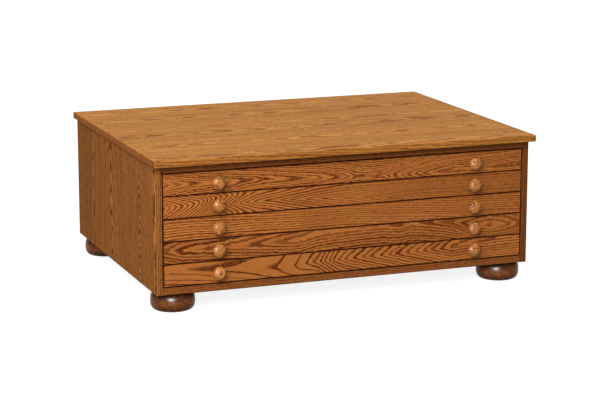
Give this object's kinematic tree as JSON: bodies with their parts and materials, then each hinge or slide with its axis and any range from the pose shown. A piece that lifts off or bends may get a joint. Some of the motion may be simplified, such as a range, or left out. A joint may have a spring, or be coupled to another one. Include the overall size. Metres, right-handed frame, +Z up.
{
  "type": "map cabinet",
  "caption": "Low oak map cabinet with shallow full-width drawers, paired turned knobs and bun feet, its top usable as a coffee table.",
  "frame": {"origin": "on the floor, under the middle of the top", "axes": "+X to the right of someone facing the drawers, -Y out of the front, +Z up"},
  "size_m": [1.117, 0.843, 0.4236],
  "materials": {
    "top_oak": "mid oak stain, satin lacquer",
    "case_oak": "mid oak stain, satin lacquer",
    "front_oak": "mid oak stain, satin lacquer",
    "knob_oak": "turned, satin lacquer",
    "foot_oak": "turned, dark stain, gloss lacquer",
    "box_maple": "clear satin lacquer",
    "oak_plywood": "clear matt lacquer",
    "runner_wood": "waxed"
  },
  "bodies": {
    "cabinet": {"top": "top_oak", "side_left": "case_oak", "side_right": "case_oak", "bottom_rail": "case_oak", "top_rail_front": "case_oak", "top_rail_back": "case_oak", "back_panel": "oak_plywood", "bottom_panel": "oak_plywood", "foot_front_left": "foot_oak", "foot_front_right": "foot_oak", "foot_back_left": "foot_oak", "foot_back_right": "foot_oak", "runner_1_left": "runner_wood", "runner_1_right": "runner_wood", "runner_2_left": "runner_wood", "runner_2_right": "runner_wood", "runner_3_left": "runner_wood", "runner_3_right": "runner_wood", "runner_4_left": "runner_wood", "runner_4_right": "runner_wood", "runner_5_left": "runner_wood", "runner_5_right": "runner_wood"},
    "drawer_1": {"drawer_1_front": "front_oak", "drawer_1_side_left": "box_maple", "drawer_1_side_right": "box_maple", "drawer_1_back": "box_maple", "drawer_1_bottom": "oak_plywood", "knob_1_left": "knob_oak", "knob_1_right": "knob_oak"},
    "drawer_2": {"drawer_2_front": "front_oak", "drawer_2_side_left": "box_maple", "drawer_2_side_right": "box_maple", "drawer_2_back": "box_maple", "drawer_2_bottom": "oak_plywood", "knob_2_left": "knob_oak", "knob_2_right": "knob_oak"},
    "drawer_3": {"drawer_3_front": "front_oak", "drawer_3_side_left": "box_maple", "drawer_3_side_right": "box_maple", "drawer_3_back": "box_maple", "drawer_3_bottom": "oak_plywood", "knob_3_left": "knob_oak", "knob_3_right": "knob_oak"},
    "drawer_4": {"drawer_4_front": "front_oak", "drawer_4_side_left": "box_maple", "drawer_4_side_right": "box_maple", "drawer_4_back": "box_maple", "drawer_4_bottom": "oak_plywood", "knob_4_left": "knob_oak", "knob_4_right": "knob_oak"},
    "drawer_5": {"drawer_5_front": "front_oak", "drawer_5_side_left": "box_maple", "drawer_5_side_right": "box_maple", "drawer_5_back": "box_maple", "drawer_5_bottom": "oak_plywood", "knob_5_left": "knob_oak", "knob_5_right": "knob_oak"}
  },
  "joints": [
    {"name": "drawer_1_slide", "type": "slide", "parent": "cabinet", "child": "drawer_1", "axis": [0, -1, 0], "range_m": [0, 0.5]},
    {"name": "drawer_2_slide", "type": "slide", "parent": "cabinet", "child": "drawer_2", "axis": [0, -1, 0], "range_m": [0, 0.5]},
    {"name": "drawer_3_slide", "type": "slide", "parent": "cabinet", "child": "drawer_3", "axis": [0, -1, 0], "range_m": [0, 0.5]},
    {"name": "drawer_4_slide", "type": "slide", "parent": "cabinet", "child": "drawer_4", "axis": [0, -1, 0], "range_m": [0, 0.5]},
    {"name": "drawer_5_slide", "type": "slide", "parent": "cabinet", "child": "drawer_5", "axis": [0, -1, 0], "range_m": [0, 0.5]}
  ]
}
